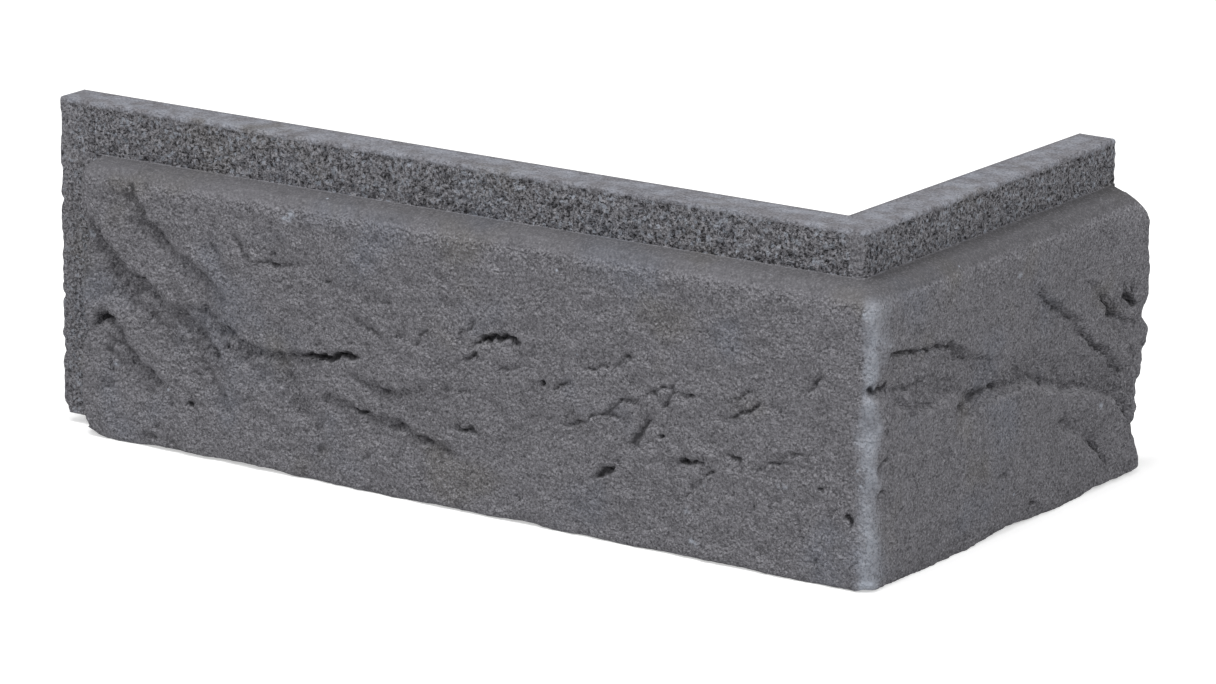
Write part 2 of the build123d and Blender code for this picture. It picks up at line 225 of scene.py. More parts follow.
SHORT_STROKES = (
    # The channel above the lower tongue, and the tongue's edge
    hollow(0.9, 3.0, 3.0, (40, 35), (52, 36), (63, 34.5), (74, 30), (86, 25), (97, 20)),
    lip(
        2.3, 1.3, 5.5,
        (96, 11.5), (93.4, 14.2), (91, 16.6), (88, 19), (84, 21), (80, 22.2), (76, 23.6), (72, 25), (68, 25.4),
        (64, 26.6), (60, 28), (56, 28.9), (53, 30.2), (50, 31.3), (46, 31.6), (40, 31.5), (35, 31.6),
        (31, 31.2), (27, 30.2), (22, 28.8), (18.5, 27.6),
    ),
    lip(
        1.8, 0.9, 4.0,
        (84.5, 2.5), (83.8, 5), (82, 7.2), (80, 9.2), (77.6, 10.8), (75, 12.6), (71, 14.6), (66, 16.6),
        (60, 18.6),
    ),
    # Lips and hollows of the upper half
    lip(
        1.5, 0.8, 6.0,
        (50, 52), (53, 50.5), (57, 47.4), (61, 44.6), (65, 42.4), (69, 40.6), (72.4, 37.4), (75.6, 34.4),
        (80, 32), (84, 29.4), (88, 26.4), (93, 23.4),
    ),
    lip(1.5, 0.8, 3.4, (74.4, 48), (77, 45.8), (80.4, 44.2), (82.8, 41.4), (85, 38.4), (89, 36.6), (95, 33.6)),
    lip(
        1.9, 0.7, 5.0,
        (-9.5, 49.4), (-5, 48.6), (0, 48.3), (8, 47.5), (15, 46.4), (19, 44.6), (24, 42), (30, 40.6),
        (38, 38.5),
    ),
    hollow(1.3, 2.6, 2.2, (-17, 43), (-8, 41), (0, 39.8), (8, 39.2), (15, 38.2), (22, 36.8)),
    lip(1.6, 0.7, 4.5, (20, 34), (14, 35), (9, 35.2), (4, 35.6), (0.6, 36.2), (-3, 37.2), (-8, 38.3)),
    # The arris wanders
    hollow(0.8, 3.4, 3.4, (-17, 39), (-16.4, 34), (-17, 31)),
    hollow(0.6, 3.4, 3.4, (-17, 24), (-17, 17)),
    hollow(0.5, 3.0, 3.0, (-18, 56), (-18, 50)),
    # Swelling before the short end
    hollow(-1.3, 11.0, 11.0, (93, 62), (98, 48), (98, 26)),
    # Deep slits and the hole at the short end
    crack(2.6, 0.7, 0.9, (87.4, 42), (89.6, 42), (91, 41.2), (92.6, 40), (94.4, 39.2)),
    crack(1.4, 0.5, 0.6, (88, 44.8), (88.6, 43), (89.4, 42)),
    crack(1.2, 0.5, 0.6, (91, 44.6), (91.6, 43), (92, 41)),
    crack(0.8, 0.5, 0.6, (84, 5), (82, 7.2), (80, 9.2), (78, 11), (76, 12.4)),
    crack(1.0, 0.6, 0.7, (-10, 49.6), (-6, 49.2), (-2, 48.4), (4, 47.8), (10, 47.2), (16, 46.4), (19, 45)),
    crack(0.9, 0.6, 0.6, (-9, 41.8), (-4, 41), (2, 40.6), (7, 40)),
    crack(1.5, 0.8, 0.9, (-18.5, 43.8), (-15, 42.8), (-12, 42.7), (-9.5, 42)),
    crack(1.3, 0.8, 0.7, (18.6, 29.9), (21, 31.2), (24, 31.8), (27.4, 32), (30, 32.8), (34, 32.6), (40, 32.2)),
    crack(0.8, 0.6, 0.6, (21, 33.2), (24.6, 33.5), (28, 33.6), (31, 34)),
    crack(1.2, 0.6, 0.7, (80, 44.4), (82, 42.6), (83, 40.6), (85, 38.4), (87.8, 37.2)),
    crack(0.7, 0.5, 0.5, (54, 49.6), (56.4, 48), (58, 47), (61, 44.8), (64, 43), (67, 41.5), (70, 40.2)),
    crack(0.9, 0.5, 0.6, (72.4, 37.6), (73.6, 35.6), (75.6, 34.3), (78, 33.2), (80, 32), (83, 30.4)),
    crack(0.9, 0.5, 0.6, (84, 27.9), (87, 26.3), (90, 25), (92.4, 23.8)),
    # Fine cracks
    crack(0.8, 0.5, 0.6, (10, 38.2), (13, 37.2), (16, 36.2), (19, 35.8)),
    crack(0.6, 0.5, 0.6, (-1, 35.6), (1, 34.4), (4, 33.2)),
    crack(0.8, 0.5, 0.6, (18.4, 44), (20, 42.7), (22, 42), (24.4, 41.6)),
    crack(0.6, 0.5, 0.6, (20.4, 27.4), (22.6, 28)),
    crack(1.0, 0.4, 0.5, (34.8, 11.9), (37, 12.9), (39.4, 13), (40.6, 12.5)),
    crack(0.7, 0.4, 0.5, (50, 13.4), (52.2, 12.2)),
    crack(0.9, 0.5, 0.6, (48.4, 3.2), (50, 3.7), (52, 3.2), (54, 2)),
    crack(0.9, 0.4, 0.5, (-14.9, 25.6), (-12, 27), (-8.4, 29)),
    crack(0.8, 0.4, 0.5, (-13.6, 19.5), (-11.5, 21), (-10.4, 20)),
    crack(0.7, 0.4, 0.5, (-2.6, 21.3), (0, 22), (2, 22.3), (2.6, 23.6)),
    crack(0.5, 0.8, 1.0, (8, 23), (10, 22.5), (12, 23.5), (15, 23.4), (18, 23)),
    crack(0.8, 0.5, 0.6, (74, 60), (77, 59), (80.4, 58.2)),
    crack(0.6, 0.8, 0.8, (25.6, 62), (28.4, 61.8)),
    crack(0.7, 0.5, 0.6, (53.4, 36.2), (54.2, 34.6)),
    crack(0.8, 0.8, 0.8, (55.6, 29.2), (58.6, 29)),
    crack(0.7, 0.8, 0.9, (62, 19.8), (65, 18.6), (68, 17.6), (72, 16)),
    crack(0.8, 0.6, 0.6, (87.6, 43), (89, 45.2)),
    crack(0.7, 0.5, 0.6, (91, 29.6), (94, 28.2), (96.5, 26)),
)

STROKES = {Leg.LONG: LONG_STROKES, Leg.SHORT: SHORT_STROKES}

# Small round holes of the face: coordinate, height, radius, depth
PITS = {
    Leg.LONG: (
        (-173.8, 59.6, 1.1, 1.0), (-159.6, 56, 0.8, 0.7), (-138.3, 56.5, 0.45, 0.7), (-138.1, 55.2, 0.4, 0.6),
        (-170.5, 34.5, 0.7, 1.2), (-182.6, 37.5, 1.0, 0.8), (-172, 30.2, 0.8, 0.7), (-184.4, 20.6, 1.1, 1.0),
        (-151, 26.6, 0.8, 0.8), (-161.1, 12, 0.7, 1.4), (-166.2, 11.2, 0.5, 0.6), (-164.2, 8.6, 0.5, 0.6),
        (-161.2, 7.4, 0.45, 0.6), (-170.5, 5.2, 0.5, 0.6), (-170, 10.3, 0.4, 0.5), (-166.8, 2.6, 0.5, 0.6),
        (-114.8, 38.5, 0.5, 1.1), (-98.4, 36.1, 0.5, 0.9), (-117, 32.9, 0.6, 0.8), (-124.5, 7.4, 1.2, 0.8),
        (-112.3, 7.4, 1.0, 0.6), (-35.3, 25.1, 0.6, 1.6), (-43.6, 41.2, 0.6, 1.0), (-37.6, 47.4, 0.7, 0.6),
        (-56.4, 6.6, 1.5, 0.6), (4.4, 21, 0.5, 1.2), (3.7, 5.1, 0.7, 0.8), (-70, 60.2, 0.6, 0.8),
        (-70.2, 58.3, 0.5, 0.6), (-45.8, 60.5, 0.5, 0.7), (-36.8, 60.1, 0.6, 0.7), (-34.8, 60, 0.5, 0.6),
        (-24.8, 58.2, 0.5, 0.6), (-12, 60.6, 0.6, 0.6), (-15.6, 60.4, 0.6, 0.5), (1.6, 61, 0.7, 0.6),
        (-130, 60.1, 0.4, 0.5), (-111.6, 60.2, 0.4, 0.5), (-96.8, 59.6, 0.4, 0.5),
    ),
    Leg.SHORT: (
        (47, 36.8, 0.8, 0.9), (46.8, 42.6, 0.5, 0.7), (48.4, 43.1, 0.4, 0.6), (59, 37.6, 0.5, 0.8),
        (66, 2.9, 0.6, 0.9), (78.4, 11.7, 0.8, 0.9), (13.2, 55.7, 0.5, 0.7), (72, 59.1, 0.5, 0.7),
        (76, 61.2, 0.5, 0.6), (32.8, 46.3, 0.7, 0.6), (24.6, 47.7, 0.5, 0.6), (-10.4, 34, 0.6, 0.8),
        (6.3, 23.4, 0.5, 0.7), (19, 21.4, 0.6, 0.7), (33.8, 17.8, 0.6, 0.5), (76, 45.8, 0.9, 0.9),
        (84.6, 60.4, 0.5, 0.4), (75, 47.6, 0.7, 0.6),
    ),
}

# Pale chips of the face: coordinate, height, radius
CHIPS = {
    Leg.LONG: (
        (-191, 46.3, 1.3), (-132.9, 58.7, 1.5), (-134.4, 57.8, 0.9), (-182.4, 17.6, 0.8), (-5, 20, 1.1),
        (-3.8, 20.1, 0.8), (-27.2, 4.1, 0.9), (-25.8, 3.4, 0.7), (-28.6, 10.2, 0.7), (-24.2, 16.6, 0.6),
        (13.2, 24.2, 0.8), (15.2, 59.2, 1.0), (16.4, 1.5, 1.6),
    ),
    Leg.SHORT: (
        (-16.2, 1.4, 1.6), (-13.6, 0.9, 0.9), (2.6, 66, 0.8), (80.6, 19, 0.9), (43.8, 31.4, 0.7),
        (-9.8, 51.6, 0.7), (43.6, 55.8, 0.7),
    ),
}

# Wear of the raised face's outline: height, and how far the edge lies inside its plain place
LEFT_EDGE = (
    (0, 3.6), (2, 2.2), (5, 0.7), (8, 0.2), (12, 0.0), (18, 0.0), (21, 0.5), (23.6, 1.7), (25, 2.3), (27, 1.5),
    (30, 0.5), (35, 0.1), (39, 0.6), (43, 1.3), (46.5, 2.0), (48, 1.9), (51, 1.1), (55, 0.6), (60, 0.5),
    (62, 1.2), (64, 3.4),
)
RIGHT_EDGE = (
    (0, 1.4), (0.8, 0.3), (3, 0.2), (6, 1.4), (9, 2.5), (12, 3.4), (13.4, 2.6), (14.4, 1.1), (17, 1.6), (20, 2.2),
    (22.5, 0.8), (27.5, 0.1), (33, 0.1), (34.5, 1.2), (36, 2.6), (38.5, 1.0), (41, 0.0), (46, 0.0), (52, 0.4),
    (56.5, 0.1), (58.5, 0.7), (60.5, 2.0), (62, 3.4), (64, 5.6),
)
# Wear of the lower edge: place along the face from the outer corner, and height of the edge
LOWER_EDGE = (
    (-209, 1.6), (-206, 0.5), (-200, 0.1), (-193, 0.1), (-188, 0.7), (-176, 0.6), (-162, 0.8), (-156, 0.8),
    (-148, 0.2), (-118, 0.1), (-110, 0.5), (-97, 0.3), (-87, 0.7), (-79, 0.1), (-72, 0.3), (-60, 0.1), (-48, 0.4),
    (-35, 0.4), (-15, 0.1), (-3, 0.3), (0, 0.7), (3, 0.4), (12, 0.1), (22, 0.0), (33, 0.0), (42, 0.0), (52, 0.5),
    (58, 0.9), (66, 0.5), (77, 0.1), (85, 0.0), (91, 0.1), (95, 0.9), (104, 0.7), (114, 0.8),
)


@dataclass
class GrainNoise:
    """Seeded gradient noise over the developed face, from -1 to 1.

    Attributes:
        seed: Seed of its random directions.
        cell: Size of one cell across the grain, in mm.
        stretch: How many times longer a cell is along the grain.
        turn: Angle of the grain above the horizontal, in degrees.
        angles: The random directions.
    """

    seed: int
    cell: float
    stretch: float = 1.0
    turn: float = 0.0
    angles: np.ndarray = field(init=False)

    TABLE = 256  # random directions each way, after which the pattern repeats
    GAIN = 1.5  # brings the noise to about -1 to 1

    def __post_init__(self) -> None:
        """Draws the random directions."""
        self.angles = np.random.default_rng(self.seed).uniform(0, math.tau, (self.TABLE, self.TABLE))

    def at(self, along: np.ndarray, height: np.ndarray) -> np.ndarray:
        """Returns the noise.

        Args:
            along: Distances along the face, in mm.
            height: Heights, in mm.

        Returns:
            One value for each place.
        """
        c, s = math.cos(math.radians(self.turn)), math.sin(math.radians(self.turn))
        u = (along * c + height * s) / (self.cell * self.stretch)
        v = (-along * s + height * c) / self.cell
        iu, iv = np.floor(u).astype(int), np.floor(v).astype(int)
        fu, fv = u - iu, v - iv
        su, sv = (f * f * f * (f * (f * 6 - 15) + 10) for f in (fu, fv))
        corners: dict[tuple[int, int], np.ndarray] = {}
        for du in (0, 1):
            for dv in (0, 1):
                angle = self.angles[(iu + du) % self.TABLE, (iv + dv) % self.TABLE]
                corners[du, dv] = np.cos(angle) * (fu - du) + np.sin(angle) * (fv - dv)
        low = corners[0, 0] * (1 - su) + corners[1, 0] * su
        high = corners[0, 1] * (1 - su) + corners[1, 1] * su
        return (low * (1 - sv) + high * sv) * self.GAIN


def fade(value: np.ndarray, start: float, end: float) -> np.ndarray:
    """Returns 0 at start and 1 at end, with a soft step between them."""
    share = np.clip((value - start) / (end - start), 0.0, 1.0)
    return share * share * (3 - 2 * share)


def curve_through(points: tuple, at: np.ndarray) -> np.ndarray:
    """Returns the value of a line through (place, value) points, at each place."""
    places, values = zip(*points)
    return np.interp(at, places, values)


def ease_below(value: np.ndarray, limit: float, width: float = 0.12) -> np.ndarray:
    """Returns value, eased so that it stays below limit."""
    return limit - width * np.logaddexp(0, (limit - value) / width)


def rolled_back(past: np.ndarray, radius: float) -> np.ndarray:
    """Returns how far a rounded edge falls back, at each distance past the start of its round."""
    return np.clip(past, 0, None) ** 2 / (2 * radius)


@dataclass
class RivenRelief:
    """Relief of the raised face, over the distance along it from the outer corner and the height.

    Attributes:
        corner_out: Distance of the outer corner from the wall-side faces, in mm.
        taper: Length over which a stroke runs out at its ends, in mm.
        bulge: How far the face swells above a lip, as a share of the lip's depth.
        wander: How far noise moves the lines, in mm.
        shake: How far fine noise moves them, in mm.
        overlap: Share of the shallower broad cut that adds to a deeper one.
        seed: Seed of the noise.
    """

    corner_out: float
    taper: float = 2.2
    bulge: float = 0.2
    wander: float = 0.8
    shake: float = 0.25
    overlap: float = 0.35
    seed: int = 7

    BULGE_PLACE, BULGE_WIDTH = 2.6, 1.6  # of the swelling, from the line, in mm

    def along(self, leg: Leg, place: float) -> float:
        """Returns the distance from the outer corner of a place on a leg, negative on the long leg."""
        return place - self.corner_out if leg is Leg.LONG else place + self.corner_out

    def _cut(self, stroke: Stroke, line: list, along: np.ndarray, height: np.ndarray) -> np.ndarray:
        """Cuts one stroke.

        Args:
            stroke: The stroke.
            line: Its points, each the distance from the outer corner and the height, in mm.
            along: Distances from the outer corner, in mm.
            height: Heights, in mm.

        Returns:
            The depth at each place, in mm.
        """
        best = np.full(along.shape, np.inf)
        side = np.zeros(along.shape)
        run_at = np.zeros(along.shape)
        total = 0.0
        for (a0, z0), (a1, z1) in zip(line, line[1:]):
            run, rise = a1 - a0, z1 - z0
            length = math.hypot(run, rise)
            share = np.clip(((along - a0) * run + (height - z0) * rise) / length**2, 0.0, 1.0)
            gap_a, gap_z = along - a0 - share * run, height - z0 - share * rise
            distance = np.hypot(gap_a, gap_z)
            nearer = distance < best
            best = np.where(nearer, distance, best)
            side = np.where(nearer, run * gap_z - rise * gap_a, side)
            run_at = np.where(nearer, total + share * length, run_at)
            total += length
        left = side > 0
        width = np.where(left, stroke.left, stroke.right)
        if stroke.cut is Cut.LIP:
            bulge = self.bulge * np.exp(-(((best - self.BULGE_PLACE) / self.BULGE_WIDTH) ** 2))
            shape = np.where(left, np.exp(-((best / width) ** 2)) - bulge, np.exp(-best / width))
        elif stroke.cut is Cut.CRACK:
            shape = np.exp(-((best / width) ** 2.6))
        else:
            shape = np.exp(-((best / width) ** 2))
        taper = min(self.taper if stroke.cut is Cut.CRACK else 2 * self.taper, total / 2.5)
        ends = np.clip(np.minimum(run_at, total - run_at) / taper, 0.0, 1.0)
        return stroke.depth * shape * (0.25 + 0.75 * ends)

    def depth(self, along: np.ndarray, height: np.ndarray) -> tuple[np.ndarray, np.ndarray, np.ndarray]:
        """Returns the relief of the face, and the parts of it that fine and broad cuts make.

        Args:
            along: Distances from the outer corner, in mm.
            height: Heights, in mm.

        Returns:
            How far the face lies in front of its plane, the depth of cracks and pits, and the
            depth of lips and hollows, in mm.
        """
        a, z = along.copy(), height.copy()
        for seed, cell, move in ((self.seed, 2.6, self.wander), (self.seed + 2, 1.2, self.shake)):
            a += move * GrainNoise(seed, cell).at(along, height)
            z += move * GrainNoise(seed + 1, cell).at(along, height)
        broad, swelling, fine = (np.zeros(along.shape) for _ in range(3))
        for leg, strokes in STROKES.items():
            for stroke in strokes:
                line = [(self.along(leg, place), h) for place, h in stroke.points]
                reach = 3.2 * max(stroke.left, stroke.right) + 4
                places, heights = zip(*line)
                near = (a > min(places) - reach) & (a < max(places) + reach)
                near &= (z > min(heights) - reach) & (z < max(heights) + reach)
                cut = self._cut(stroke, line, a[near], z[near])
                if stroke.cut is Cut.CRACK:
                    fine[near] = np.maximum(fine[near], cut)
                elif stroke.depth < 0:
                    swelling[near] += cut
                else:
                    deeper, other = np.maximum(broad[near], cut), np.minimum(broad[near], cut)
                    broad[near] = deeper + self.overlap * other
            for place, h, radius, deep in PITS[leg]:
                distance = np.hypot(a - self.along(leg, place), z - h)
                fine = np.maximum(fine, deep * np.exp(-((distance / radius) ** 3)))
        return -swelling - broad - fine, fine, np.clip(broad, 0, None)


class Part(IntEnum):
    """The parts of the profile loop, in their order from the wall side."""

    BASE = 0
    SOLE = 1  # the base under the raised face
    FACE = 2
    CROWN = 3
    LEDGE = 4
    SEAM = 5  # the ledge's inner edge
    STRIP = 6
    ROUND = 7  # the front edge of the top
    TOP = 8
    WALL = 9


# Number of rows on each part of the loop
ROWS = {
    Part.BASE: 4, Part.SOLE: 3, Part.FACE: 99, Part.CROWN: 9, Part.LEDGE: 9, Part.SEAM: 1, Part.STRIP: 18,
    Part.ROUND: 3, Part.TOP: 7, Part.WALL: 8,
}
# The parts that stand in front of the back
RAISED = (Part.SOLE, Part.FACE, Part.CROWN, Part.LEDGE, Part.SEAM)


@dataclass
class Skin:
    """The slip's surface unrolled, with a value for each station and row, or one for each station.

    Attributes:
        part: The part of the loop that the row is on.
        share: Place within that part, from 0 to 1.
        along: Distance from the outer corner, negative on the long leg, in mm.
        lift: 0 where the joint strip is bare, and 1 where the raised face covers it.
        inset: How far the edge of an end cap is drawn in, in mm.
        sink: 0 on the raised face, and 1 where its end has sunk to the front of the back.
        back: Thickness of the back, in mm.
        joint: Height of the joint line, in mm.
        height: Height, in mm.
        out: Distance from the wall side, in mm.
        masks: The masks that the finish reads, by name.
    """

    part: np.ndarray
    share: np.ndarray
    along: np.ndarray
    lift: np.ndarray
    inset: np.ndarray
    sink: np.ndarray
    back: np.ndarray
    joint: np.ndarray
    height: np.ndarray = field(init=False)
    out: np.ndarray = field(init=False)
    masks: dict[str, np.ndarray] = field(default_factory=dict)

    def on(self, *parts: Part) -> np.ndarray:
        """Returns where the given parts are."""
        return np.isin(self.part, parts)

    def choose(self, values: dict[Part, np.ndarray | float]) -> np.ndarray:
        """Returns each part's own value, and 0 on the other parts."""
        return np.select([self.part == part for part in values], list(values.values()), 0.0)

    def first(self, values: np.ndarray, part: Part) -> np.ndarray:
        """Returns the values of the first row of a part, one for each station."""
        row = int(np.argmax(self.part[0] == part))
        return values[:, row : row + 1]


@dataclass
class CornerSlip:
    """The slip: one closed skin whose profile loop is carried along both legs.

    The loop runs from the wall side over the base, up the raised face, over the ledge, up the
    joint strip, over the top and down the wall side. Sizes are in mm. Those of the outline repeat
    the CAD model's, and the edges of the face are sharper here, because their wear is drawn too.

    Attributes:
        long_leg: Wall-side length of the long leg.
        short_leg: Wall-side length of the short leg.
        course_height: Whole height.
        brick_height: Height of the joint line at the outer corner.
        back_at_corner: Thickness of the back at the corner.
        back_at_long_end: Thickness of the back at the long end.
        back_at_short_end: Thickness of the back at the short end.
        face_proud: How far the raised face stands in front of the back.
        least_proud: How far its rolled edges still stand in front.
        face_overhang: How far the raised face runs past the back at the short end.
        head_joint: Width of the joint strip at the long end.
        head_joint_lift: Height at which that strip ends above the base.
        joint_line_drop: How much lower the joint line lies at the long end.
        face_round: Radius of the outer corner of the face.
        back_round: Radius of the outer corner of the back.
        top_round: Radius of the top's front edge.
        crown_start: Height of the rounded crown of the face.
        crown_radius: Radius of the crown.
        ledge_width: Width of the ledge over which it falls.
        ledge_fall: Fall of the ledge, as a share of its width.
        foot_roll: Radius of the face's lower edge.
        left_roll: Radius of the face's edge at the long end.
        right_roll: Radius of the face's edge at the short end.
        calm_low: Height from which the face gets calmer.
        calm_high: Height from which only a trace of its relief is left.
        relief_trace: That trace, as a share.
        chip: Depth of the chips in the top's front edge.
        stand_out: How far relief may stand in front of the face's plane.
        seed: Seed of the noise.
    """

    long_leg: float = 202.3
    short_leg: float = 94.8
    course_height: float = 75.0
    brick_height: float = 65.0
    back_at_corner: float = 10.3
    back_at_long_end: float = 8.7
    back_at_short_end: float = 9.2
    face_proud: float = 6.7
    least_proud: float = 0.8
    face_overhang: float = 4.2
    head_joint: float = 9.8
    head_joint_lift: float = 2.2
    joint_line_drop: float = 1.7
    face_round: float = 3.6
    back_round: float = 1.3
    top_round: float = 0.8
    crown_start: float = 6.0
    crown_radius: float = 4.2
    ledge_width: float = 4.2
    ledge_fall: float = 0.3
    foot_roll: float = 0.9
    left_roll: float = 1.7
    right_roll: float = 1.8
    calm_low: float = 57.0
    calm_high: float = 62.0
    relief_trace: float = 0.12
    chip: float = 0.4
    stand_out: float = 0.27
    seed: int = 21

    GAP = 0.02  # between the two rows of a seam that part behind the overhang, in mm
    CAP_INSETS = (3.4, 2.4, 1.5, 0.8, 0.3)  # of the rings that fill the cap at the long end, in mm
    EDGE_REACH = 9.0  # how far from the face's ends the wear of its outline reaches, in mm
    FOOT_REACH = 6.0  # how high the wear of the lower edge reaches, in mm
    LIFT_REACH = 12.0  # how high the lifted end of the joint strip reaches, in mm

    def __post_init__(self) -> None:
        """Works out the sizes that follow from the others."""
        self.corner_out = self.back_at_corner + self.face_proud
        self.strip_end = -self.long_leg - self.corner_out
        self.face_start = self.strip_end + self.head_joint
        self.back_end = self.short_leg + self.corner_out
        self.face_end = self.back_end + self.face_overhang
        self.relief = RivenRelief(self.corner_out)

    # Stations along the legs, and the rows of the loop

    def _stations(self) -> tuple[np.ndarray, ...]:
        """Lays out the stations.

        Returns:
            Distance along, lift, inset and sinking of each station, as Skin explains them.
        """
        pieces: list[list[np.ndarray]] = []

        def add(
            along: np.ndarray | float,
            lift: np.ndarray | float = 1.0,
            inset: np.ndarray | float = 0.0,
            sink: np.ndarray | float = 0.0,
        ) -> None:
            """Adds some stations."""
            pieces.append(np.broadcast_arrays(along, lift, inset, sink))

        # They are 0.5 to 0.65 mm apart on the face, and close where the face begins
        start, end = self.face_start, self.face_end
        add(self.strip_end, 0.0, np.array(self.CAP_INSETS))
        add(np.linspace(self.strip_end, start - 0.35, 18), 0.0)
        add(np.linspace(start - 0.3, start + 0.25, 7), np.linspace(0.08, 1.0, 7))
        add(np.linspace(start + 0.7, -101.0, 196))
        add(np.linspace(-100.4, -8.6, 142))
        add(np.linspace(-8.0, 8.0, 35))
        add(np.linspace(8.6, self.back_end, 169))
        add(np.linspace(self.back_end + 0.6, end, 7))
        # The end of the overhang, and its rear side back to the end of the back
        add(end, sink=np.linspace(0.2, 1.0, 5))
        add(np.array([self.back_end]), sink=1.0)
        return tuple(np.concatenate(parts) for parts in zip(*pieces))

    def _unroll(self) -> Skin:
        """Returns the skin with its stations and rows laid out and the back's sizes at each."""
        along, lift, inset, sink = (values[:, None] for values in self._stations())
        part = np.repeat(list(ROWS), list(ROWS.values()))
        share = np.concatenate([np.arange(count) / count for count in ROWS.values()])
        along = along + np.zeros(len(part))
        part, share = (np.broadcast_to(values, along.shape) for values in (part, share))
        along = np.where(np.isin(part, RAISED), along, np.minimum(along, self.back_end))
        joint = self.brick_height - self.joint_line_drop * np.clip(along / self.face_start, 0, 1)
        return Skin(part, share, along, lift, inset, sink, self._thickness(along), joint)

    def _thickness(self, along: np.ndarray) -> np.ndarray:
        """Returns the thickness of the back at each distance along."""
        sizes = self.back_at_long_end, self.back_at_corner, self.back_at_short_end
        return np.interp(along, (self.strip_end, 0.0, self.back_end), sizes)

    def _set_heights(self, skin: Skin) -> None:
        """Sets the height of every row, before any wear."""
        share, joint = skin.share, skin.joint
        crown_low = joint - self.crown_start
        edge_high = joint - self.ledge_fall * self.ledge_width
        strip_low = joint + self.GAP
        skin.height = skin.choose(
            {
                Part.FACE: share * crown_low,
                Part.CROWN: crown_low + share * (edge_high - crown_low),
                Part.LEDGE: edge_high + share * (joint - edge_high),
                Part.SEAM: joint,
                Part.STRIP: strip_low + share * (self.course_height - self.top_round - strip_low),
                Part.ROUND: self.course_height - self.top_round * (1 - np.sin(share * math.pi / 2)),
                Part.TOP: self.course_height,
                Part.WALL: self.course_height * (1 - share),
            }
        )

    # Relief of the parts

    def _noise(self, along: np.ndarray, height: np.ndarray, broken: np.ndarray) -> np.ndarray:
        """Makes the small unevenness of the riven face.

        Args:
            along: Distances from the outer corner, in mm.
            height: Heights, in mm.
            broken: How broken the ground is at each place, from 0 to 1.

        Returns:
            The unevenness, in mm, which is stronger on broken ground.
        """
        left = 1 - fade(along, -150, -70)
        long_grain = GrainNoise(self.seed + 5, 5.0, 3.0, -38).at(along, height) * left
        long_grain += GrainNoise(self.seed + 6, 5.0, 3.0, 12).at(along, height) * (1 - left)
        value = 0.34 * long_grain + 0.3 * GrainNoise(self.seed + 4, 13.0, 1.6, -25).at(along, height)
        small = 0.24 * GrainNoise(self.seed + 7, 3.2, 1.6, -20).at(along, height)
        small += 0.19 * GrainNoise(self.seed + 8, 1.9).at(along, height)
        small += 0.13 * GrainNoise(self.seed + 9, 1.2).at(along, height)
        return value + small * (1.2 + 1.8 * broken) - 0.3

    def _face(self, skin: Skin) -> np.ndarray:
        """Shapes the raised face, and sets the masks of painted shade and highlight on its relief and of painted
        shade along the joint line.

        Args:
            skin: The skin, with its heights.

        Returns:
            How far the face stands in front of the back, in mm.
        """
        along, height = skin.along, skin.height
        on_face = skin.on(Part.FACE, Part.CROWN)
        crown_low = skin.joint - self.crown_start
        relief, cuts, hollows = self.relief.depth(along, height)
        calm = 1 - fade(height, self.calm_low, self.calm_high)
        rolled = rolled_back(height - crown_low, self.crown_radius)
        rolled += rolled_back(self.foot_roll - height, self.foot_roll)
        rolled += rolled_back(self.left_roll - (along - self.face_start), self.left_roll)
        rolled += rolled_back(self.right_roll - (self.face_end - along), self.right_roll)
        room = self.face_proud - self.least_proud
        broken = np.clip(hollows / 1.6 + cuts / 0.8, 0, 1)
        relief = (relief + self._noise(along, height, broken)) * np.maximum(calm, self.relief_trace)
        outward = self.face_proud + relief - room * np.tanh(rolled / room)

        # Painted shade and highlight: cracks, pits and hollows are painted dark, most where the ground leans back
        # under a lip, and an edge that faces up is painted pale as a highlight
        lean = np.gradient(outward, axis=1) / np.maximum(np.gradient(height, axis=1), 0.05)
        shaded = (0.25 + 0.75 * fade(lean, -0.5, 0.3)) * (1 - 0.3 * fade(along, 0, 12))
        # Painted highlight on edges that face up
        rim_highlights = fade(-lean, 0.3, 1.1) * (1 - fade(height, crown_low - 2, crown_low))
        # Painted shade along the joint line, under the strip and over the ledge, stronger on the short leg
        line = fade(height, skin.joint - 4.5, skin.joint - 2) * (0.65 + 0.55 * fade(along, -4, 8))
        skin.masks["cuts"] = np.where(on_face, cuts * calm, 0.0)
        skin.masks["hollows"] = np.where(on_face, hollows * calm * shaded, 0.0)
        skin.masks["rim_highlights"] = np.where(on_face, rim_highlights, 0.0)
        skin.masks["ledge"] = skin.lift * skin.choose(
            {Part.FACE: line, Part.CROWN: line, Part.LEDGE: line + skin.share}
        )
        return outward

    def _strip(self, skin: Skin) -> tuple[np.ndarray, np.ndarray]:
        """Works out the joint strip's relief, and sets its mask.

        Args:
            skin: The skin, with its heights.

        Returns:
            The strip's pores, below 0, and the chips of the top's front edge, both in mm.
        """
        along, height = skin.along, skin.height
        calm = np.interp(along, (-6.5, -4.5, -0.8, 0.8), (1, 0.15, 0.15, 1))
        worn = calm * np.interp(along, (self.strip_end, self.face_start), (0.55, 1.0))
        pits = 0.2 * GrainNoise(self.seed, 2.4).at(along, height)
        pits += 0.26 * GrainNoise(self.seed + 1, 1.25).at(along, height) - 0.2
        pits -= np.clip(GrainNoise(self.seed + 2, 1.9).at(along, height) - 0.42, 0, 1) * 2.4
        bare = skin.on(Part.FACE, Part.CROWN, Part.LEDGE, Part.SEAM) & (skin.lift < 0.5)
        bare |= skin.on(Part.STRIP)
        pores = np.where(bare, np.minimum(pits * worn, 0.0) * fade(height, 0.3, 1.6), 0.0)
        chips = np.clip(GrainNoise(self.seed + 12, 3.1).at(along, 0 * height) + 0.15, 0, 1)
        chips += np.clip(GrainNoise(self.seed + 13, 1.3).at(along, 0 * height), 0, 1) * 0.7
        skin.masks["strip"] = np.where(bare, worn, 0.0)
        return pores, chips * calm * self.chip

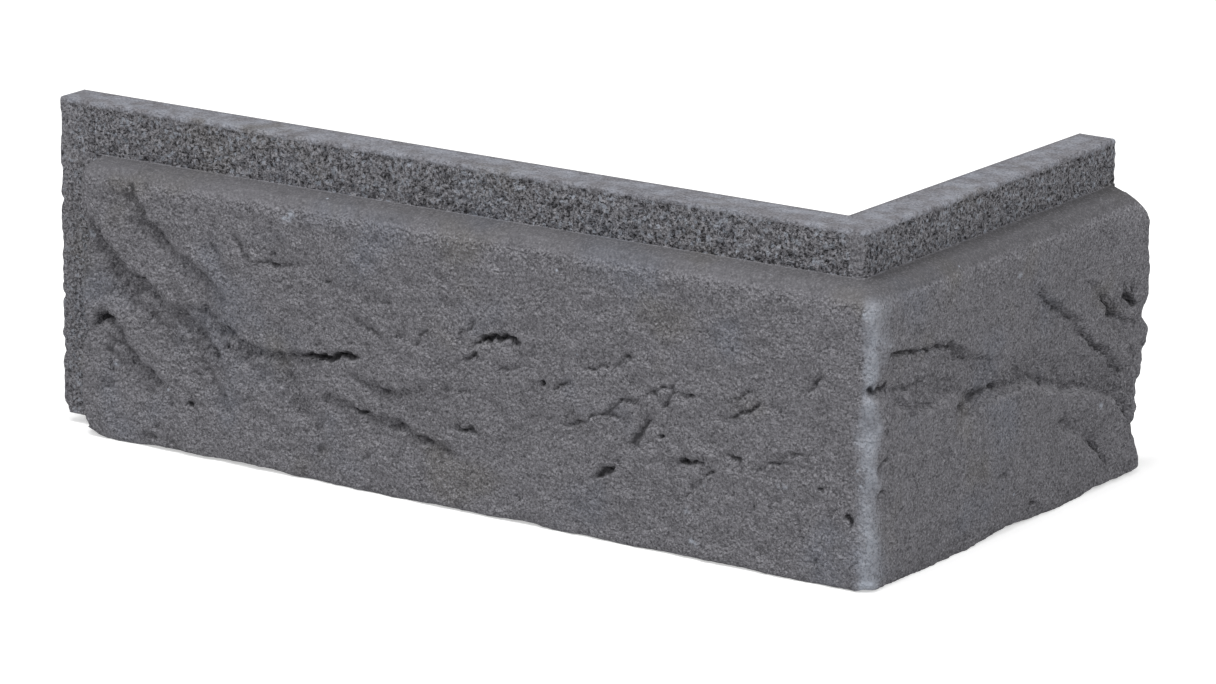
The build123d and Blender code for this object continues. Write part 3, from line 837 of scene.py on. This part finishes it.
    def _set_out(self, skin: Skin) -> None:
        """Sets the distance of every row from the wall side."""
        share, back = skin.share, skin.back
        outward = self._face(skin)
        pores, chips = self._strip(skin)
        edge = skin.first(outward, Part.LEDGE)
        proud = skin.choose({Part.FACE: outward, Part.CROWN: outward, Part.LEDGE: edge * (1 - share)})
        front = back + np.maximum(proud, 0.0) * skin.lift
        foot = skin.first(front, Part.FACE)
        base_rows = ROWS[Part.BASE]
        out = skin.choose(
            {
                Part.BASE: (back - self.GAP) * share * base_rows / (base_rows - 1),
                Part.SOLE: back + (foot - back) * share,
                Part.FACE: front,
                Part.CROWN: front,
                Part.LEDGE: front,
                Part.SEAM: back,
                Part.STRIP: back,
                Part.ROUND: back - chips - self.top_round * (1 - np.cos(share * math.pi / 2)),
                Part.TOP: (back - self.top_round - chips) * (1 - share),
            }
        )
        skin.out = out + pores

    # Wear of the edges, and the end caps

    def _wear(self, skin: Skin) -> None:
        """Wears the outline of the raised face and the ragged end of the joint strip."""
        along, lift = skin.along, skin.lift
        on_face = skin.on(Part.FACE, Part.CROWN)
        foot = skin.first(skin.out, Part.FACE)
        # The joint strip at the long end stops above the base
        lifted = self.head_joint_lift * (1 - lift)
        height = skin.height
        height = np.where(height < self.LIFT_REACH, height + lifted * (1 - height / self.LIFT_REACH), height)
        low = curve_through(LOWER_EDGE, along) * lift
        near_foot = on_face & (height < self.FOOT_REACH)
        height = np.where(near_foot, height + low * (1 - height / self.FOOT_REACH), height)
        height = np.where(skin.on(Part.SOLE), height + low * skin.share, height)

        start, end = self.face_start, self.face_end
        left = curve_through(LEFT_EDGE, height) * (1 - fade(along, start, start + self.EDGE_REACH))
        left *= fade(along, start - 6, start - 0.3)
        right = curve_through(RIGHT_EDGE, height) * fade(along, end - self.EDGE_REACH, end)
        right[-1] = 0
        shift = np.where(on_face | skin.on(Part.LEDGE), left, 0) - np.where(skin.on(*RAISED), right, 0)
        # The end of the overhang is the raised face sinking to the front of the back
        out = np.where(skin.on(*RAISED), skin.back + (skin.out - skin.back) * (1 - skin.sink), skin.out)

        # Ragged end of the joint strip, with a broken lower corner
        ragged = 0.25 + 0.4 * GrainNoise(self.seed + 14, 5.5).at(height, 0 * height)
        ragged += 0.25 * GrainNoise(self.seed + 15, 1.8).at(height, 0 * height)
        ragged += 1.5 * (1 - fade(height, self.head_joint_lift, self.head_joint_lift + 2.6))
        ragged = np.clip(ragged, 0, None) * (1 - fade(along, self.strip_end, self.strip_end + 7))
        ragged *= fade(out / skin.back, 0.1, 0.7)

        skin.out, skin.height = out, height
        self._draw_in_cap(skin, foot, lifted)
        self._set_masks(skin)
        skin.along = along + shift + ragged

    def _draw_in_cap(self, skin: Skin, foot: np.ndarray, lifted: np.ndarray) -> None:
        """Draws in the rings of the cap at the long end.

        Args:
            skin: The skin, with its worn heights and distances.
            foot: Distance of the face's lower edge from the wall side, in mm.
            lifted: Height of the strip's lower end above the base, in mm.
        """
        inset, out, height = skin.inset, skin.out, skin.height
        under, top = skin.on(Part.BASE, Part.SOLE), skin.on(Part.TOP)
        sides = skin.on(Part.FACE, Part.CROWN, Part.STRIP, Part.ROUND)
        out = out - inset * np.select([sides, skin.on(Part.WALL)], [1.0, -1.0], 0.0)
        height = height - inset * np.select([top | skin.on(Part.LEDGE), under], [1.0, -1.0], 0.0)
        out = np.where(under | top, np.clip(out, inset, np.maximum(foot - inset, inset)), out)
        out = np.where(top, np.minimum(out, skin.back - inset), out)
        upright = sides | skin.on(Part.WALL)
        height = np.where(upright, np.clip(height, inset + lifted, self.course_height - inset), height)
        # The cast top is not quite even
        skin_depth = np.minimum(0.05 * GrainNoise(self.seed + 11, 2.4).at(skin.along, skin.height) - 0.05, 0.0)
        skin.out, skin.height = out, np.minimum(height, self.course_height) + np.where(top, skin_depth, 0.0)

    # Masks

    def _arris(self, along: np.ndarray, height: np.ndarray) -> np.ndarray:
        """Makes the worn, pale streak of the outer corner, ragged at both sides.

        Args:
            along: Distances from the outer corner, in mm.
            height: Heights, in mm.

        Returns:
            How worn each place is, from 0 to 1.
        """
        place = along + 1.6 * GrainNoise(self.seed + 16, 7.0).at(along, height)
        place += 1.0 * GrainNoise(self.seed + 17, 2.4).at(along, height)
        wide = 5.5 + 4.5 * fade(height, 42, 52) + 2.5 * (1 - fade(height, 8, 24))
        worn = fade(place, -4.6, 0.4) * (1 - fade(place, 0.0, wide))
        return worn * (1 - fade(height, 60.5, 63.5))

    def _chips(self, along: np.ndarray, height: np.ndarray) -> np.ndarray:
        """Places the pale chips of the face.

        Args:
            along: Distances from the outer corner, in mm.
            height: Heights, in mm.

        Returns:
            Where the chips are, from 0 to 1.
        """
        chips = np.zeros(along.shape)
        for leg, marks in CHIPS.items():
            for place, level, radius in marks:
                distance = np.hypot(along - self.relief.along(leg, place), height - level)
                chips = np.maximum(chips, 1 - fade(distance, 0.5 * radius, radius))
        return chips

    def _set_masks(self, skin: Skin) -> None:
        """Sets the masks of grit, worn corner, chips and top."""
        along, height = skin.along, skin.height
        on_face = skin.on(Part.FACE, Part.CROWN)
        arris = np.where(on_face, self._arris(along, height), 0.0)
        face = 1 - 0.6 * fade(height, skin.joint - 4.5, skin.joint - 2.5)
        gritty = [on_face, skin.on(Part.LEDGE), skin.on(Part.STRIP)]
        skin.masks["grit"] = np.select(gritty, [face, 0.4, 0.8], 0.7) * (1 - 0.4 * arris)
        skin.masks["arris"] = arris
        skin.masks["chips"] = np.where(on_face, self._chips(along, height), 0.0)
        skin.masks["top"] = np.where(skin.on(Part.TOP, Part.ROUND), 1.0, 0.0)

    # From the unrolled skin to the mesh

    def _plan(self, along: np.ndarray, reach: float, radius: float) -> np.ndarray:
        """Lays a line round the corner.

        Args:
            along: Signed distances from the corner, in mm.
            reach: Distance of the line from the wall-side faces, in mm.
            radius: Radius of its corner, in mm.

        Returns:
            The x and y of each point, in mm.
        """
        straight = np.abs(along) >= radius
        angle = np.clip((along / radius + 1) * math.pi / 4, 0, math.pi / 2)
        arc_x = reach - radius + radius * np.sin(angle)
        arc_y = -(reach - radius) - radius * np.cos(angle)
        x = np.where(straight, np.where(along < 0, reach + along, reach), arc_x)
        y = np.where(straight, np.where(along < 0, -reach, along - reach), arc_y)
        return np.stack([x, y], -1)

    def _places(self, skin: Skin) -> np.ndarray:
        """Returns the vertex places in metres."""
        along, out, back = skin.along, skin.out, skin.back
        in_fan = np.abs(along) < self.corner_out
        past_fan = np.sign(along) * (np.abs(along) - self.corner_out)
        back_reach = np.sign(along) * self.back_at_corner
        back_along = np.where(in_fan, along * self.back_at_corner / self.corner_out, past_fan + back_reach)
        wall_along = np.where(in_fan, 0.0, past_fan)
        wall = np.stack([np.where(along < 0, wall_along, 0.0), np.where(along < 0, 0.0, wall_along)], -1)
        back_line = self._plan(back_along, self.back_at_corner, self.back_round)
        face_line = self._plan(along, self.corner_out, self.face_round)
        thin = (self.back_at_corner - back)[..., None]
        inward = np.stack([-(along > 2).astype(float), (along < -2).astype(float)], -1)
        back_line = back_line + inward * thin
        face_line = face_line + inward * thin
        share_back = np.clip(out / back, 0, 1)[..., None]
        share_face = np.clip(out - back, 0, None)[..., None] / self.face_proud
        plan = wall + (back_line - wall) * share_back + (face_line - back_line) * share_face
        plan[..., 0] = ease_below(plan[..., 0], self.corner_out + self.stand_out)
        plan[..., 1] = -ease_below(-plan[..., 1], self.corner_out + self.stand_out)
        return np.concatenate([plan, skin.height[..., None]], -1) * MM

    def build(self) -> bpy.types.Object:
        """Returns the finished slip, closed and smooth, with the masks its finish reads."""
        skin = self._unroll()
        self._set_heights(skin)
        self._set_out(skin)
        self._wear(skin)
        places = self._places(skin)
        stations, rows = places.shape[:2]
        # A grid with one vertex for each station and row, whose last row comes back to the first
        bpy.ops.mesh.primitive_grid_add(x_subdivisions=stations - 1, y_subdivisions=rows, size=2)
        slip = bpy.context.object
        slip.name = "riven_corner_slip"
        slip.data.name = "riven_corner_slip"
        flat = np.zeros(len(slip.data.vertices) * 3, np.float32)
        slip.data.vertices.foreach_get("co", flat)
        flat = flat.reshape(-1, 3)
        i = np.rint((flat[:, 0] + 1) / 2 * (stations - 1)).astype(int)
        j = np.rint((flat[:, 1] + 1) / 2 * rows).astype(int) % rows
        slip.data.vertices.foreach_set("co", places[i, j].astype(np.float32).ravel())
        for name, mask in skin.masks.items():
            layer = slip.data.attributes.new(name, "FLOAT", "POINT")
            layer.data.foreach_set("value", mask[i, j].astype(np.float32))
        slip.data.update()
        self._close(slip)
        LOG.info("slip: %d vertices, %d faces", len(slip.data.vertices), len(slip.data.polygons))
        return slip

    def _close(self, slip: bpy.types.Object) -> None:
        """Joins the loop's seam, closes both ends and smooths the skin."""
        bpy.ops.object.select_all(action="DESELECT")
        slip.select_set(True)
        bpy.context.view_layer.objects.active = slip
        bpy.ops.object.mode_set(mode="EDIT")
        bpy.ops.mesh.select_all(action="SELECT")
        bpy.ops.mesh.remove_doubles(threshold=0.002 * MM)
        bpy.ops.mesh.dissolve_degenerate(threshold=0.002 * MM)
        bpy.ops.mesh.select_all(action="DESELECT")
        bpy.ops.mesh.select_mode(type="EDGE")
        bpy.ops.mesh.select_non_manifold(
            extend=False, use_wire=False, use_multi_face=False, use_non_contiguous=False, use_verts=False
        )
        bpy.ops.mesh.edge_face_add()
        bpy.ops.mesh.select_all(action="SELECT")
        bpy.ops.mesh.normals_make_consistent(inside=False)
        bpy.ops.object.mode_set(mode="OBJECT")
        bpy.ops.object.shade_smooth_by_angle(angle=math.radians(50))


def linear(hex_colour: str, alpha: float = 1.0) -> tuple[float, float, float, float]:
    """Returns the linear colour of an sRGB hex value such as "#67666c"."""
    values = [int(hex_colour[k : k + 2], 16) / 255 for k in (1, 3, 5)]
    values = [v / 12.92 if v <= 0.04045 else ((v + 0.055) / 1.055) ** 2.4 for v in values]
    return (*values, alpha)


def add_node(
    tree: bpy.types.NodeTree, kind: str, settings: dict | None = None, inputs: dict | None = None
) -> bpy.types.Node:
    """Adds a shader node.

    Args:
        tree: The node tree.
        kind: The node's type.
        settings: Values of its properties.
        inputs: A value for each input, or the output socket that it is linked to.

    Returns:
        The node.
    """
    node = tree.nodes.new(kind)
    for name, value in (settings or {}).items():
        setattr(node, name, value)
    for name, value in (inputs or {}).items():
        socket = node.inputs[name]
        if isinstance(value, bpy.types.NodeSocket):
            tree.links.new(value, socket)
        else:
            socket.default_value = value
    return node


@dataclass(frozen=True)
class CastConcrete:
    """Graphite-pigmented concrete, cast in a soft mould and left as it came out.

    To the eye it is a matt, cold dark grey, clouded by paler fines. Sand grains show all over the
    riven face, air pores on the joint strip, a smooth pale skin on the top, and the outer corner is
    worn to the pale fines. The top's paleness is partly painted sheen, shade is painted into the pores,
    cracks, pits, hollows and along the joint line, and edges that face up get painted highlights.
    Fine sand such as this is usually about 0.3 mm, which would be a pixel or so and not show, so its
    grains are drawn at about 0.5 mm. The finest pores of the strip are drawn at about 0.7 mm for the
    same reason.

    Attributes:
        body: Main colour of the paste.
        pale: Colour of the fines where they came to the surface.
        pale_grain_and_highlight: Pale sand grains and pale spots of the strip, and the painted highlight of edges
            that face up.
        dark: Dark grains and darker mottling, and the painted shade of hollows, cracks and pits.
        pore_shade: Painted shade inside the pores of the joint strip.
        sheen: Paler skin of the top, which lay against the mould's rim, and partly a painted sheen of the top's
            brighter lighting.
        cold: Bluish bloom.
        warm: Brownish tint of the paste.
        joint_shade: Painted shade along the joint line, under the strip and on the ledge.
        chalk: Worn corner, chips and specks.
        roughness: Roughness, close to that of dry concrete.
        cloud: Size of the paler clouds, in mm.
        bloom: Size of the bluish clouds, in mm.
        stain: Size of the brownish clouds, in mm.
        mottle: Size of the darker mottling, in mm.
        top_cloud: Size of the clouds in the skin of the top, in mm.
        wear_cloud: Size of the clouds in the worn corner, in mm.
        grain: Size of the sand grains, in mm.
        sand_gap: Distance between single, stronger grains, in mm.
        pore_size: Size of the strip's pores, in mm.
        lump_gap: Distance between the strip's pale lumps, in mm.
        speck_gap: Distance between pale specks, in mm.
        chip_grain: Size of the broken-up grains of a chip, in mm.
        grit_size: Size of the sand's relief, in mm.
        grit_depth: Depth of the sand's relief, in mm.
        pore_depth: Depth of the pores' relief, in mm.
    """

    body: str = "#79787d"
    pale: str = "#85848a"
    pale_grain_and_highlight: str = "#a3a2a7"
    dark: str = "#333236"
    pore_shade: str = "#29282b"
    sheen: str = "#a3a7b2"
    cold: str = "#777d8a"
    warm: str = "#726e66"
    joint_shade: str = "#434244"
    chalk: str = "#acb2bd"
    roughness: float = 0.92
    cloud: float = 17.0
    bloom: float = 26.0
    stain: float = 19.0
    mottle: float = 3.4
    top_cloud: float = 5.0
    wear_cloud: float = 5.5
    grain: float = 0.48
    sand_gap: float = 0.5
    pore_size: float = 0.72
    lump_gap: float = 0.8
    speck_gap: float = 13.0
    chip_grain: float = 1.3
    grit_size: float = 0.8
    grit_depth: float = 1.7
    pore_depth: float = 1.4

    def material(self) -> bpy.types.Material:
        """Returns the finish as a node material."""
        made = bpy.data.materials.new("cast_graphite_concrete")
        made.use_nodes = True
        tree = made.node_tree
        tree.nodes.clear()
        place = add_node(tree, "ShaderNodeTexCoord").outputs["Object"]

        def noise(size_mm: float, detail: float = 2.0, rough: float = 0.5) -> bpy.types.NodeSocket:
            """Returns a noise whose cells are size_mm across."""
            settings = {"Vector": place, "Scale": 1000 / size_mm, "Detail": detail, "Roughness": rough}
            return add_node(tree, "ShaderNodeTexNoise", None, settings).outputs["Fac"]

        def cells(size_mm: float, output: str = "Distance") -> bpy.types.NodeSocket:
            """Returns an output of a pattern of grains that are size_mm apart."""
            settings = {"Vector": place, "Scale": 1000 / size_mm}
            return add_node(tree, "ShaderNodeTexVoronoi", None, settings).outputs[output]

        def spread(value: bpy.types.NodeSocket, low: float, high: float, top: float = 1.0) -> bpy.types.NodeSocket:
            """Returns value mapped from low..high to 0..top, smoothly."""
            inputs = {"Value": value, "From Min": low, "From Max": high, "To Min": 0.0, "To Max": top}
            soft = {"interpolation_type": "SMOOTHSTEP"}
            return add_node(tree, "ShaderNodeMapRange", soft, inputs).outputs["Result"]

        def times(a: bpy.types.NodeSocket, b: bpy.types.NodeSocket | float) -> bpy.types.NodeSocket:
            """Returns the product of two values."""
            return add_node(tree, "ShaderNodeMath", {"operation": "MULTIPLY"}, {0: a, 1: b}).outputs[0]

        def mix(share: bpy.types.NodeSocket, below: bpy.types.NodeSocket | str, over: str) -> bpy.types.NodeSocket:
            """Returns a colour laid over another by share."""
            below = linear(below) if isinstance(below, str) else below
            inputs = {0: share, 6: below, 7: linear(over)}
            return add_node(tree, "ShaderNodeMix", {"data_type": "RGBA"}, inputs).outputs[2]

        def mask(name: str) -> bpy.types.NodeSocket:
            """Returns one of the slip's own masks."""
            return add_node(tree, "ShaderNodeAttribute", {"attribute_name": name}).outputs["Fac"]

        # Clouds of the paste
        colour = mix(spread(noise(self.cloud, 3), 0.42, 0.68, 0.35), self.body, self.pale)
        colour = mix(spread(noise(self.bloom), 0.56, 0.7, 0.4), colour, self.cold)
        colour = mix(spread(noise(self.stain), 0.58, 0.72, 0.4), colour, self.warm)
        colour = mix(spread(noise(self.mottle, 3, 0.6), 0.5, 0.3, 0.3), colour, self.dark)

        # Painted shade along the joint line, the top's pale skin with painted sheen, painted shade in the hollows,
        # worn corner and painted highlights on edges
        ledge = mask("ledge")
        # Painted shade along the joint line and on the ledge under the strip
        colour = mix(spread(ledge, 0.0, 1.0, 0.6), colour, self.joint_shade)
        colour = mix(spread(ledge, 1.0, 2.0, 0.6), colour, self.joint_shade)
        # Paler mould skin of the top, partly painted sheen
        colour = mix(times(mask("top"), spread(noise(self.top_cloud, 4, 0.6), 0.35, 0.7, 0.7)), colour, self.sheen)
        # Painted shade in the hollows, most under lips
        colour = mix(spread(mask("hollows"), 0.2, 2.2, 0.55), colour, self.dark)
        worn = spread(noise(self.wear_cloud, 4, 0.6), -0.1, 0.7, 0.72)
        colour = mix(times(mask("arris"), worn), colour, self.chalk)
        # Painted highlight on edges that face up
        colour = mix(spread(mask("rim_highlights"), 0.0, 1.0, 0.55), colour, self.pale_grain_and_highlight)

        # Sand, and painted shade in cracks and pits
        grit = mask("grit")
        grain, sand = noise(self.grain, 2, 0.6), cells(self.sand_gap, "Color")
        colour = mix(times(grit, spread(grain, 0.52, 0.68, 0.6)), colour, self.pale_grain_and_highlight)
        colour = mix(times(grit, spread(sand, 0.66, 0.95, 0.4)), colour, self.pale_grain_and_highlight)
        colour = mix(times(grit, spread(grain, 0.47, 0.33, 0.6)), colour, self.dark)
        colour = mix(times(grit, spread(sand, 0.32, 0.1, 0.45)), colour, self.dark)
        # Painted shade in cracks and pits
        colour = mix(spread(mask("cuts"), 0.15, 1.3, 0.75), colour, self.dark)

        # Pores of the joint strip, with painted shade inside them, and its pale lumps
        strip = mask("strip")
        coarse = noise(self.pore_size, 2, 0.65)
        # Painted shade inside the strip's pores
        colour = mix(times(strip, spread(coarse, 0.46, 0.36, 0.95)), colour, self.pore_shade)
        colour = mix(times(strip, spread(coarse, 0.5, 0.62, 0.85)), colour, self.pale_grain_and_highlight)
        lumps = cells(self.lump_gap, "Color")
        colour = mix(times(strip, spread(lumps, 0.6, 0.95, 0.7)), colour, self.chalk)

        # Specks and chips
        colour = mix(spread(cells(self.speck_gap), 0.035, 0.02, 0.8), colour, self.chalk)
        broken = spread(noise(self.chip_grain, 3), 0.35, 0.6, 0.8)
        colour = mix(times(mask("chips"), broken), colour, self.chalk)

        inputs = {"Strength": grit, "Distance": self.grit_depth * MM, "Height": noise(self.grit_size, 1)}
        rough = add_node(tree, "ShaderNodeBump", None, inputs).outputs["Normal"]
        inputs = {"Strength": strip, "Distance": self.pore_depth * MM, "Height": coarse, "Normal": rough}
        bump = add_node(tree, "ShaderNodeBump", None, inputs).outputs["Normal"]
        inputs = {"Base Color": colour, "Roughness": self.roughness, "IOR": 1.5, "Normal": bump}
        shader = add_node(tree, "ShaderNodeBsdfPrincipled", None, inputs)
        add_node(tree, "ShaderNodeOutputMaterial", None, {"Surface": shader.outputs[0]})
        return made


@dataclass
class Studio:
    """Pale floor, soft lamps and the camera that sees the slip as the photograph does.

    Attributes:
        azimuth: Camera's angle round the slip, in degrees.
        elevation: Camera's angle above the horizon, in degrees.
        roll: Camera's roll, in degrees.
        distance: From the camera to the plane through the aim, in mm.
        focal: Focal length in pixels of the photograph's width.
        aside: Shift of the aim to the camera's left, in mm.
        above: Shift of the aim down, in mm.
        aim_height: Height of the aim on the frame's z axis, in mm.
        sensor: Width of the camera's sensor, in mm.
    """

    azimuth: float = 34.151
    elevation: float = 14.758
    roll: float = 0.5205
    distance: float = 1307.02
    focal: float = 6279.56
    aside: float = 49.4217
    above: float = -10.1051
    aim_height: float = 37.5
    sensor: float = 36.0

    def camera(self) -> None:
        """Places the camera."""
        az, el, roll = (math.radians(v) for v in (self.azimuth, self.elevation, self.roll))
        back = Vector((math.sin(az) * math.cos(el), -math.cos(az) * math.cos(el), math.sin(el)))
        level = Vector((math.cos(az), math.sin(az), 0.0))
        upright = back.cross(level)
        right = level * math.cos(roll) + upright * math.sin(roll)
        up = upright * math.cos(roll) - level * math.sin(roll)
        spot = Vector((0, 0, self.aim_height)) + back * self.distance - right * self.aside - up * self.above
        data = bpy.data.cameras.new("camera")
        data.sensor_width = self.sensor
        data.lens = self.focal * self.sensor / PHOTO_WIDTH
        data.clip_start, data.clip_end = 0.05, 20.0
        camera = bpy.data.objects.new("camera", data)
        bpy.context.scene.collection.objects.link(camera)
        turn = Matrix((right, up, back)).transposed()
        camera.matrix_world = Matrix.Translation(spot * MM) @ turn.to_4x4()
        bpy.context.scene.camera = camera

    def lamp(self, name: str, place: tuple, aim: tuple, size: float, watts: float) -> None:
        """Adds a square soft lamp.

        Args:
            name: Its name.
            place: Its place, in metres.
            aim: The place that it is turned to, in metres.
            size: Its width, in metres.
            watts: Its power.
        """
        data = bpy.data.lights.new(name, "AREA")
        data.shape, data.size, data.energy = "SQUARE", size, watts
        lamp = bpy.data.objects.new(name, data)
        lamp.location = place
        lamp.rotation_euler = (Vector(aim) - Vector(place)).to_track_quat("-Z", "Y").to_euler()
        bpy.context.scene.collection.objects.link(lamp)

    def floor(self) -> None:
        """Adds the pale floor, which keeps the slip's shadow and looks white to the camera."""
        bpy.ops.object.select_all(action="DESELECT")
        bpy.ops.mesh.primitive_plane_add(size=12, location=(0, 0, 0))
        floor = bpy.context.object
        floor.name = "studio_floor"
        made = bpy.data.materials.new("pale_floor")
        made.use_nodes = True
        tree = made.node_tree
        tree.nodes.clear()
        matte = add_node(tree, "ShaderNodeBsdfDiffuse", None, {"Color": (0.8, 0.8, 0.8, 1)})
        rays = add_node(tree, "ShaderNodeLightPath").outputs["Is Camera Ray"]
        glow = add_node(tree, "ShaderNodeEmission", None, {"Color": (1, 1, 1, 1)})
        lift = add_node(tree, "ShaderNodeMath", {"operation": "MULTIPLY"}, {0: rays, 1: 0.5})
        tree.links.new(lift.outputs[0], glow.inputs["Strength"])
        both = add_node(tree, "ShaderNodeAddShader", None, {0: matte.outputs[0], 1: glow.outputs[0]})
        add_node(tree, "ShaderNodeOutputMaterial", None, {"Surface": both.outputs[0]})
        floor.data.materials.append(made)

    def world(self) -> None:
        """Sets an even pale surround."""
        world = bpy.data.worlds.new("surround")
        world.use_nodes = True
        tree = world.node_tree
        tree.nodes.clear()
        surround = add_node(tree, "ShaderNodeBackground", None, {"Color": (1, 1, 1, 1), "Strength": 0.3})
        add_node(tree, "ShaderNodeOutputWorld", None, {"Surface": surround.outputs[0]})
        bpy.context.scene.world = world

    def build(self) -> None:
        """Sets up the whole studio."""
        self.camera()
        self.floor()
        self.world()
        self.lamp("overhead", (-0.1, -0.45, 1.7), (-0.05, 0, 0.03), 0.7, 17)
        self.lamp("front_left", (-0.9, -1.3, 1.35), (-0.08, 0, 0.03), 0.7, 7)
        self.lamp("right", (1.5, -0.3, 1.3), (0, 0.03, 0.03), 0.7, 12.5)
        bpy.context.scene.view_settings.view_transform = "Standard"


def main() -> None:
    """Builds the slip, dresses it and sets up the studio."""
    logging.basicConfig(level=logging.INFO, format="%(name)s: %(message)s")
    bpy.ops.object.select_all(action="DESELECT")
    slip = CornerSlip().build()
    slip.data.materials.append(CastConcrete().material())
    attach(slip, "root")
    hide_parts("corner_slip")
    Studio().build()


if __name__ == "__main__":
    main()
